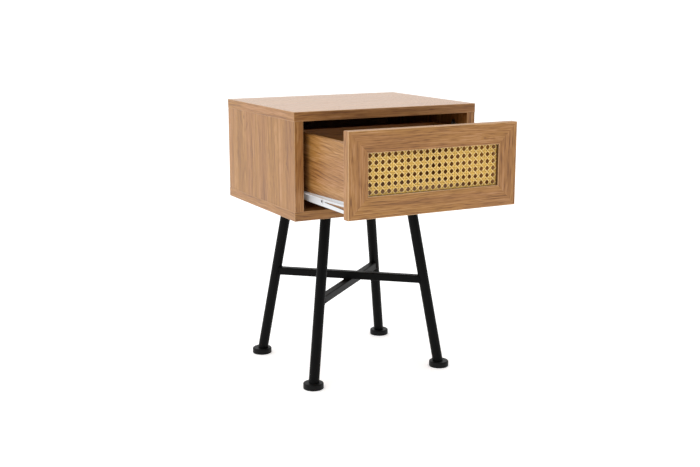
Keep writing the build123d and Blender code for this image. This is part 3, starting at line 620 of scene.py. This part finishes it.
def gather(strands, name, material):
    """One mesh from many strands."""
    points = []
    quads = []
    tones = []
    offset = 0
    for grid, tone in strands:
        count, sides, _ = grid.shape
        points.append(grid.reshape(-1, 3))
        index = np.arange(count * sides).reshape(count, sides) + offset
        after = np.roll(index, -1, axis=1)
        quads.append(np.stack([index[:-1], after[:-1], after[1:], index[1:]], axis=-1).reshape(-1, 4))
        tones.append(np.full(count * sides, tone))
        offset += count * sides
    verts = np.concatenate(points)
    faces = np.concatenate(quads)
    mesh = bpy.data.meshes.new(name)
    mesh.vertices.add(len(verts))
    mesh.vertices.foreach_set("co", verts.astype(np.float32).ravel())
    mesh.loops.add(faces.size)
    mesh.loops.foreach_set("vertex_index", faces.astype(np.int32).ravel())
    mesh.polygons.add(len(faces))
    mesh.polygons.foreach_set("loop_start", np.arange(0, faces.size, 4, dtype=np.int32))
    mesh.update(calc_edges=True)
    mesh.validate()
    tone_layer = mesh.attributes.new("strand_tone", "FLOAT", "POINT")
    tone_layer.data.foreach_set("value", np.concatenate(tones).astype(np.float32))
    piece = bpy.data.objects.new(name, mesh)
    return settle(piece, "drawer", (material,))


# ---- Leg frame geometry ------------------------------------------------------


def leg_axis(side, end):
    """A point at the foot and the upward direction of a leg's centre line."""
    foot = Vector((side * LEG_FOOT_OUT, CARCASS_MIDDLE + end * LEG_FOOT_AWAY, 0.0))
    top = Vector((side * LEG_TOP_OUT, CARCASS_MIDDLE + end * LEG_TOP_AWAY, LEG_TOP_HEIGHT))
    return foot, (top - foot).normalized()


def bar_axis(side, end):
    """The middle of the bar that meets a leg, and its direction out to that leg."""
    low, high = LOWER_BAR if side * end > 0.0 else UPPER_BAR
    centre = Vector((0.0, CARCASS_MIDDLE, (low.z + high.z) / 2.0))
    foot, up = leg_axis(side, end)
    at_bar = foot + up * (centre.z / up.z)
    return centre, (at_bar - centre).normalized()


def meet_leg(start, direction, foot, up):
    """Where a line that runs outward first meets the leg's skin."""
    gap = start - foot
    across = direction - direction.dot(up) * up
    offset = gap - gap.dot(up) * up
    a = across.dot(across)
    b = 2.0 * across.dot(offset)
    c = offset.dot(offset) - LEG_RADIUS**2
    inside = b * b - 4.0 * a * c
    if inside < 0.0:
        return start - direction * across.dot(offset) / a
    return start + direction * (-b - math.sqrt(inside)) / (2.0 * a)


def square_ring(centre, across, up, half, corner, per_side):
    """Points round a square section with rounded corners, as offsets from its centre line."""
    points = []
    for quarter in range(4):
        turn = quarter * math.pi / 2.0
        for step in range(per_side):
            share = step / per_side
            slide = (share - 0.5) * 2.0 * (half - corner)
            along = math.cos(turn), math.sin(turn)
            out = math.sin(turn), -math.cos(turn)
            u = along[0] * slide + out[0] * half
            v = along[1] * slide + out[1] * half
            points.append(centre + across * u + up * v)
    return points


def bead_radii(count, size, ripples):
    """A weld bead's thickness along its run: the ripples left by the torch's steps."""
    return [size * (0.85 + 0.15 * math.sin(2.0 * math.pi * ripples * i / count)) for i in range(count)]


# ---- Operators ---------------------------------------------------------------


class TABLE_OT_boards(bpy.types.Operator):
    """Give the carcass boards, the back and the drawer box their oak print, hardboard and grain."""

    bl_idname = "table.boards"
    bl_label = "Boards and drawer box"

    def execute(self, context):
        # The top catches the light at a low angle, so its figure hardly shows: its print is drawn faint and a
        # little lighter than the sides', as painted sheen.
        faint = dict(rings=0.08, bands=0.15, cords=0.12, streaks=0.25, pores=0.08, shade=0.05)
        paint_node("top_panel", printed_oak("oak_foil_top", "X", (0.40, -0.5), roughness=0.26, **faint))
        paint_node("bottom_panel", printed_oak("oak_foil_bottom", "X", (0.25, 0.1)))
        broad = dict(spacing=0.012, wander=0.017, rings=0.26, bands=0.45, cords=0.22, streaks=0.32)
        broad.update(pores=0.18, contrast=1.1, shade=-0.03)
        close = dict(spacing=0.0048, wander=0.009, rings=0.6, bands=0.30, streaks=0.40, shade=0.03)
        for side, sign in (("left", -1.0), ("right", 1.0)):
            upper_knot = (sign * 0.2, 0.165, 0.523), 0.0038
            lower_knot = (sign * 0.2, -0.040, 0.453), 0.003
            face = printed_oak(
                f"oak_foil_{side}_side",
                "Z",
                (sign * 0.232, 0.165),
                lean=(sign * 0.10, 0.02),
                knots=(upper_knot, lower_knot),
                **broad,
            )
            paint_node(f"{side}_side_panel", face)
            face = printed_oak(f"oak_foil_drawer_{side}_side", "Y", (0.10, 0.72), lean=(0.0, 0.11), **close)
            paint_node(f"drawer_{side}_side", face)
        paint_node("drawer_back", printed_oak("oak_foil_drawer_back", "X", (0.2, 0.2), shade=-0.05))
        hardboard = pressed_hardboard("pressed_hardboard")
        paint_node("drawer_bottom", hardboard)
        paint_node("back_panel", hardboard)
        return {"FINISHED"}


class TABLE_OT_edge_bands(bpy.types.Operator):
    """Lay the edge bands round the carcass, with their arrises scraped round."""

    bl_idname = "table.edge_bands"
    bl_label = "Edge bands"

    def execute(self, context):
        oak = context.scene.table_oak
        # The band's arris is drawn paler than its face: a painted highlight along the rounded edge.
        arris = painted_edge_light_and_shade("edge_band_arris", "B68A5C")
        front = dict(rings=0.2, cords=0.3, streaks=0.7, pores=0.3, shade=-0.1, tint=0.93, roughness=0.5)
        across = printed_oak("edge_band_across", "X", (0.3, 0.9), **front)
        upright = printed_oak("edge_band_upright", "Z", (-0.9, 0.5), **front)
        sides = printed_oak("edge_band_sides", "Y", (0.7, 0.9), rings=0.15, bands=0.3, streaks=0.6, shade=0.0)

        def scrape(node, is_arris, face):
            softened(node, oak.band_arris, is_arris, face, arris)

        def at_front(middle, way):
            return abs(middle.y - CARCASS_FRONT) < SAME_PLACE

        for level in ("top", "bottom"):
            scrape(f"{level}_front_edging", at_front, across)
            for side, outer in (("left", CARCASS_SIDE), ("right", -CARCASS_SIDE)):

                def at_side(middle, way, outer=outer):
                    meets_front = abs(way.z) > 0.9 and middle.y < CARCASS_MIDDLE
                    return abs(middle.x - outer) < SAME_PLACE and not meets_front

                scrape(f"{level}_{side}_edging", at_side, sides)
        for side in ("left", "right"):
            scrape(
                f"{side}_side_edging",
                lambda middle, way: at_front(middle, way) and abs(way.z) > 0.9,
                upright,
            )
        return {"FINISHED"}


class TABLE_OT_drawer_front(bpy.types.Operator):
    """Shape the four mitred members of the drawer front and the beads behind the cane."""

    bl_idname = "table.drawer_front"
    bl_label = "Drawer front"

    def execute(self, context):
        oak = context.scene.table_oak
        # The arrises are drawn paler than the faces: a painted highlight along the rounded edges.
        arris = painted_edge_light_and_shade("front_arris", "CCA274")
        # The opening's walls are drawn dark brown: the raw edge's own colour, deepened by painted shade in the
        # recess.
        groove = painted_edge_light_and_shade("raw_edge_and_painted_shade", "5A3A1E")
        knots = {"front_top_rail": (((-0.2495, 0.5065, 0.106), 0.0024),)}
        narrow = dict(spacing=0.0045, wander=0.005, rings=0.22, bands=0.15, cords=0.25, streaks=0.65)
        narrow.update(pores=0.35, roughness=0.44)
        front_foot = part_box("front_bottom_rail")[0].z

        def is_arris(middle, way):
            slanting = min(abs(way.x), abs(way.z)) > 0.3
            on_face = abs(middle.y - FRONT_LOW.y) < SAME_PLACE
            on_rear = abs(middle.y - FRONT_HIGH.y) < SAME_PLACE
            outside = (
                abs(abs(middle.x) - FRONT_HIGH.x) < SAME_PLACE
                or abs(middle.z - FRONT_HIGH.z) < SAME_PLACE
                or abs(middle.z - front_foot) < SAME_PLACE
            )
            return not slanting and abs(way.y) < 0.3 and (on_face or (on_rear and outside))

        opening_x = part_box("front_right_stile")[1].x - FRONT_MEMBER
        opening_low = front_foot + FRONT_MEMBER
        opening_high = FRONT_HIGH.z - FRONT_MEMBER

        def in_opening(polygon):
            spot = polygon.center
            inside = abs(spot.x) < opening_x + SAME_PLACE and (
                opening_low - SAME_PLACE < spot.z < opening_high + SAME_PLACE
            )
            return inside and abs(polygon.normal.y) < 0.3 and spot.y < CANE_LOW.y

        for node, grain, heart, shade in (
            ("front_top_rail", "X", (-0.9, 0.62), -0.05),
            ("front_bottom_rail", "X", (-0.9, 0.30), -0.02),
            ("front_left_stile", "Z", (-0.02, 0.25), 0.04),
            ("front_right_stile", "Z", (0.02, 0.25), -0.05),
        ):
            face = printed_oak(
                f"oak_foil_{node}", grain, heart, knots=knots.get(node, ()), shade=shade, **narrow
            )
            piece = softened(node, oak.front_arris, is_arris, face, arris)
            # The walls round the cane's opening take the dark material: painted shade in the recess, over the
            # raw edge's brown.
            piece.data.materials.append(groove)
            for polygon in piece.data.polygons:
                if in_opening(polygon):
                    polygon.material_index = 2
        beads = planed_wood("planed_softwood", "X", "C69A68", "A67A4C", 0.002)
        for node in ("cane_beads_long", "cane_beads_short"):
            paint_node(node, beads)
        return {"FINISHED"}


class TABLE_OT_cane(bpy.types.Operator):
    """Weave the cane: pairs of upright and level strands, bound by slanting strands both ways."""

    bl_idname = "table.cane"
    bl_label = "Woven cane"

    def execute(self, context):
        cane = context.scene.table_cane
        pitch = cane.pitch
        mid_y = (CANE_LOW.y + CANE_HIGH.y) / 2.0
        # The strands end just short of the rebate's walls.
        short = 0.0004
        left, right = CANE_LOW.x + short, CANE_HIGH.x - short
        low, high = CANE_LOW.z + short, CANE_HIGH.z - short
        # The webbing is never laid dead centre, so its columns and rows have their own start.
        first_x = CANE_OFF_CENTRE - pitch / 2.0
        first_z = CANE_FIRST_ROW + pitch / 2.0
        # How far the strands and the binders swing out of the sheet's middle as they pass over and under.
        wave = 0.00026
        binder_wave = 0.00052
        # A strand's facet, how far it strays, the shortest binder laid, and how far out to count.
        step = 0.0015
        stray = 0.0001
        shortest = 0.004
        widest = 0.32
        chance = np.random.default_rng(7)

        def strand(start, end, swing, axis, waves, phase, width, tone):
            """One flat strand from start to end, in the sheet's plane.

            It swings out of the plane in waves, counted in half pitches along axis: 0 for x, 1 for z.
            """
            length = math.hypot(end[0] - start[0], end[1] - start[1])
            count = max(2, int(length / step) + 1)
            share = np.linspace(0.0, 1.0, count)
            x = start[0] + (end[0] - start[0]) * share
            z = start[1] + (end[1] - start[1]) * share
            place = z - first_z if axis else x - first_x
            out = swing * np.cos(waves * np.pi * place / pitch + phase)
            way = np.array([end[0] - start[0], end[1] - start[1]]) / length
            side = np.array([-way[1], way[0]])
            half = width / 2.0
            thick = cane.thickness
            section = ((-1.0, -0.45), (-1.0, 0.05), (-0.55, 0.45), (0.55, 0.45), (1.0, 0.05), (1.0, -0.45))
            rows = []
            for across, lift in section:
                px = x + side[0] * half * across
                pz = z + side[1] * half * across
                py = mid_y - out - thick * lift
                rows.append(np.stack([px, py, pz], axis=1))
            return np.stack(rows, axis=1), tone

        straight = []
        columns = int(widest / pitch)
        # The upright strands first, then the level ones, which are drawn a little tighter.
        for axis, first, gap, slim, least, most, swing in (
            (1, first_x, cane.pair_gap, 1.0, left, right, wave),
            (0, first_z, cane.pair_gap * 0.92, 0.95, low, high, -wave),
        ):
            for i in range(-columns, columns + 1):
                for twin in (-0.5, 0.5):
                    at = first + i * pitch + twin * gap + chance.uniform(-1.0, 1.0) * stray
                    if least < at < most:
                        start, end = ((at, low), (at, high)) if axis else ((left, at), (right, at))
                        width = cane.strand_width * slim * chance.uniform(0.93, 1.07)
                        tone = chance.uniform(0.0, 0.35)
                        straight.append(strand(start, end, swing, axis, 1.0, i * np.pi, width, tone))
        slanting = []
        lines = 60
        for slope in (1.0, -1.0):
            for k in range(-lines, lines + 1):
                # The line z - first_z = slope * (x - first_x) + (k + 1/2) * pitch, cut to the sheet.
                shift = first_z - slope * first_x + (k + 0.5) * pitch
                ends = sorted([(low - shift) / slope, (high - shift) / slope])
                x0 = max(left, ends[0])
                x1 = min(right, ends[1])
                if x1 - x0 < shortest:
                    continue
                tone = chance.uniform(0.1, 0.4)
                width = cane.binder_width * chance.uniform(0.95, 1.05)
                start, end = (x0, slope * x0 + shift), (x1, slope * x1 + shift)
                slanting.append(strand(start, end, slope * binder_wave, 0, 2.0, 0.0, width, tone))
        pairs = gather(straight, "cane_pairs", split_cane("rattan_peel", cane.straw, 0.42))
        # The binders take the paler colour: a painted highlight on the strands that lie on top.
        gather(slanting, "cane_binders", split_cane("rattan_binder", cane.binder, 0.36))
        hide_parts("cane_webbing")
        return {"FINISHED"}


class TABLE_OT_leg_frame(bpy.types.Operator):
    """Coat the leg frame, lay its weld beads and finish its feet."""

    bl_idname = "table.leg_frame"
    bl_label = "Leg frame"

    def execute(self, context):
        steel = context.scene.table_steel
        coat = powder_coat("black_powder_coat", steel.coat)
        plastic = moulded_plastic("moulded_black_plastic", steel.foot, 0.48, 0.0012, 0.15)
        for node in ("stretcher_upper", "stretcher_lower"):
            paint_node(node, coat)
        # Each bead's path, and how often the torch stepped along it.
        beads = []
        for side_name, side in (("left", -1.0), ("right", 1.0)):
            for end_name, end in (("front", -1.0), ("rear", 1.0)):
                paint_node(f"leg_{end_name}_{side_name}", coat)
                paint_node(f"leg_plate_{end_name}_{side_name}", coat)
                paint_node(f"foot_{end_name}_{side_name}", plastic)
                foot, up = leg_axis(side, end)
                centre, out = bar_axis(side, end)
                # Round the bar's end, just outside its faces, and laid on the leg's skin.
                ring = square_ring(centre, UP.cross(out), UP, BAR_HALF + BEAD_OFF_BAR, BEAD_CORNER, BAR_STEPS)
                beads.append(([meet_leg(point, out, foot, up) for point in ring], 9))
                # Round the tube's upper end, where it meets the plate.
                at_plate = foot + up * (PLATE_UNDERSIDE / up.z)
                collar = []
                for step in range(COLLAR_STEPS):
                    turn = 2.0 * math.pi * step / COLLAR_STEPS
                    spoke = Vector((math.cos(turn), math.sin(turn), 0.0))
                    reach = spoke - spoke.dot(up) * up
                    collar.append(at_plate + spoke * LEG_RADIUS / reach.length)
                beads.append((collar, 16))
        # Round the lozenge where the upper bar rests on the lower one.
        upper_way = bar_axis(1.0, -1.0)[1]
        lower_way = bar_axis(1.0, 1.0)[1]
        crossing = Vector((0.0, CARCASS_MIDDLE, LOWER_BAR[1].z))
        reach = (BAR_HALF - 0.0004) / abs(upper_way.cross(lower_way).z)
        corners = [
            crossing + (upper_way * a + lower_way * b) * reach for a, b in ((1, 1), (-1, 1), (-1, -1), (1, -1))
        ]
        lozenge = []
        for index, corner in enumerate(corners):
            for step in range(CROSSING_STEPS):
                lozenge.append(corner.lerp(corners[(index + 1) % 4], step / CROSSING_STEPS))
        beads.append((lozenge, 12))
        for number, (path, ripples) in enumerate(beads):
            radii = bead_radii(len(path), steel.bead_radius, ripples)
            mesh = tube_round(f"weld_bead_{number}", path, radii, BEAD_SIDES)
            piece = bpy.data.objects.new(f"weld_bead_{number}", mesh)
            settle(piece, "cabinet", (coat,))
        return {"FINISHED"}


class TABLE_OT_runners(bpy.types.Operator):
    """Coat the runners and finish their nylon rollers and rivets."""

    bl_idname = "table.runners"
    bl_label = "Runners and rollers"

    def execute(self, context):
        steel = context.scene.table_steel
        coat = epoxy_coat("white_epoxy_coat", steel.enamel)
        hole_shade = hole_wall_shade_steel("runner_hole_painted_shade")
        nylon = moulded_plastic("moulded_nylon", linear("E6E4DA"), 0.35, 0.0012, 0.5)
        zinc = zinc_plate("zinc_plated_rivets")
        # The slot and the holes lie between these heights on the web, and clear of its ends.
        lowest, highest, clear = 0.004, 0.013, 0.001
        for side in ("left", "right"):
            for part in ("cabinet", "drawer"):
                node = f"{part}_runner_{side}"
                low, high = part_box(node)
                runner = softened(
                    node, steel.fold_radius, lambda middle, way: abs(way.y) > 0.9, coat, coat
                )
                # The walls of the holes and the slot take the dark metal: painted shade in the hollows.
                runner.data.materials.append(hole_shade)
                for polygon in runner.data.polygons:
                    spot = polygon.center
                    between = low.z + lowest < spot.z < low.z + highest
                    inside = low.y + clear < spot.y < high.y - clear
                    if between and inside and abs(polygon.normal.x) < 0.3:
                        polygon.material_index = 2
                paint_node(f"{part}_roller_{side}", nylon)
        for node in ("cabinet_roller_pins", "drawer_roller_pins"):
            paint_node(node, zinc)
        return {"FINISHED"}


class TABLE_OT_fixings(bpy.types.Operator):
    """Finish the screws, cams, bolts and dowels that hold the table together."""

    bl_idname = "table.fixings"
    bl_label = "Fixings"

    def execute(self, context):
        zinc = zinc_plate("zinc_plated_fixings")
        for node in (
            "carcass_cam_bolts",
            "carcass_cams",
            "bottom_panel_screws",
            "leg_plate_screws",
            "drawer_cam_bolts",
            "drawer_cams",
            "cabinet_runner_screws",
            "drawer_runner_screws",
        ):
            paint_node(node, zinc)
        beech = planed_wood("fluted_beech", "X", "D9B98C", "C49F70", 0.001)
        for node in ("carcass_dowels", "drawer_dowels"):
            paint_node(node, beech)
        return {"FINISHED"}


class TABLE_OT_stage(bpy.types.Operator):
    """Set up the pale floor, the soft studio lights and the camera."""

    bl_idname = "table.stage"
    bl_label = "Studio"

    def execute(self, context):
        scene = context.scene
        studio = scene.table_studio
        material, add, place = new_material("white_studio_paper")
        # Matt paper, lit a little by the lamps that a studio shines on its floor alone.
        tooth = add("TexNoise", {"Vector": place, "Scale": 3.0, "Detail": 2.0})
        stops = (0.0, [c * 0.99 for c in studio.floor]), (1.0, studio.floor)
        looks = {
            "Base Color": add("ValToRGB", {"Fac": tooth}, stops),
            "Roughness": 0.9,
            "Specular IOR Level": 0.1,
            "Emission Color": rgba((1.0, 1.0, 1.0)),
            "Emission Strength": 0.4,
        }
        shaded(material, looks)
        disc = bmesh.new()
        bmesh.ops.create_circle(disc, cap_ends=True, cap_tris=False, segments=96, radius=14.0)
        mesh = bpy.data.meshes.new("studio_floor")
        disc.to_mesh(mesh)
        disc.free()
        mesh.materials.append(material)
        floor = bpy.data.objects.new("studio_floor", mesh)
        scene.collection.objects.link(floor)

        world = bpy.data.worlds.new("white_room")
        scene.world = world
        world.use_nodes = True
        world.node_tree.nodes.clear()
        add = partial(add_node, world.node_tree)
        # The room is lit from behind and the left, and stays dim in front, like a real studio bay.
        way = add("TexCoord").outputs["Generated"]
        facing = add("VectorMath", {0: way, 1: (-0.2, 0.9, 0.36)}, operation="DOT_PRODUCT")
        level = add(
            "MapRange",
            {
                "Value": facing.outputs["Value"],
                "From Min": -1.0,
                "From Max": 1.0,
                "To Min": studio.room_front,
                "To Max": studio.room_back,
            },
        )
        dim = add("Background", {"Color": rgba((1.0, 1.0, 1.0)), "Strength": level})
        white = add("Background", {"Color": rgba((1.0, 1.0, 1.0)), "Strength": 1.1})
        seen = add("LightPath").outputs["Is Camera Ray"]
        mixed = add("MixShader", {0: seen, 1: dim, 2: white})
        add("OutputWorld", {"Surface": mixed})

        target = Vector((0.0, 0.0, 0.38))
        for name, spot, width, power in (
            ("key_softbox", (-2.3, -1.0, 2.4), 1.8, studio.key_power),
            ("front_softbox", (0.4, -2.6, 2.4), 1.6, studio.front_power),
            ("overhead_softbox", (0.0, -0.2, 2.5), 1.4, studio.overhead_power),
        ):
            light = bpy.data.lights.new(name, "AREA")
            light.shape = "SQUARE"
            light.size = width
            light.energy = power
            lamp = bpy.data.objects.new(name, light)
            lamp.location = spot
            aim = target - Vector(spot)
            lamp.rotation_euler = aim.to_track_quat("-Z", "Y").to_euler()
            scene.collection.objects.link(lamp)

        lens = bpy.data.cameras.new("studio_camera")
        lens.sensor_fit = "HORIZONTAL"
        lens.sensor_width = CAMERA_SENSOR
        lens.lens = CAMERA_LENS
        lens.clip_end = 60.0
        camera = bpy.data.objects.new("studio_camera", lens)
        camera.location = CAMERA_PLACE
        camera.rotation_euler = (math.pi / 2.0 - CAMERA_DIP, 0.0, -CAMERA_TURN)
        scene.collection.objects.link(camera)
        scene.camera = camera
        scene.view_settings.view_transform = "Standard"
        return {"FINISHED"}


class TABLE_PT_panel(bpy.types.Panel):
    """The pieces of the table and its studio, in the order that they are made."""

    bl_idname = "TABLE_PT_panel"
    bl_label = "Bedside table"
    bl_space_type = "VIEW_3D"
    bl_region_type = "UI"
    bl_category = "Bedside table"

    def draw(self, context):
        layout = self.layout
        for group, operators in (
            ("table_oak", ("table.boards", "table.edge_bands", "table.drawer_front")),
            ("table_cane", ("table.cane",)),
            ("table_steel", ("table.leg_frame", "table.runners", "table.fixings")),
            ("table_studio", ("table.stage",)),
        ):
            box = layout.box()
            settings = getattr(context.scene, group)
            for name in settings.__annotations__:
                box.prop(settings, name)
            for operator in operators:
                box.operator(operator)


SETTINGS = {
    "table_oak": OakSettings,
    "table_cane": CaneSettings,
    "table_steel": SteelSettings,
    "table_studio": StudioSettings,
}
OPERATORS = (
    TABLE_OT_boards,
    TABLE_OT_edge_bands,
    TABLE_OT_drawer_front,
    TABLE_OT_cane,
    TABLE_OT_leg_frame,
    TABLE_OT_runners,
    TABLE_OT_fixings,
    TABLE_OT_stage,
)
CLASSES = (*SETTINGS.values(), *OPERATORS, TABLE_PT_panel)


def register():
    """Registers the classes and puts their settings on the scene."""
    for cls in CLASSES:
        bpy.utils.register_class(cls)
    for name, cls in SETTINGS.items():
        setattr(bpy.types.Scene, name, bpy.props.PointerProperty(type=cls))


def unregister():
    """Takes the settings and the classes away again."""
    for name in SETTINGS:
        delattr(bpy.types.Scene, name)
    for cls in reversed(CLASSES):
        bpy.utils.unregister_class(cls)


def main():
    register()
    bpy.ops.table.boards()
    bpy.ops.table.edge_bands()
    bpy.ops.table.drawer_front()
    bpy.ops.table.cane()
    bpy.ops.table.leg_frame()
    bpy.ops.table.runners()
    bpy.ops.table.fixings()
    bpy.ops.table.stage()


if __name__ == "__main__":
    main()
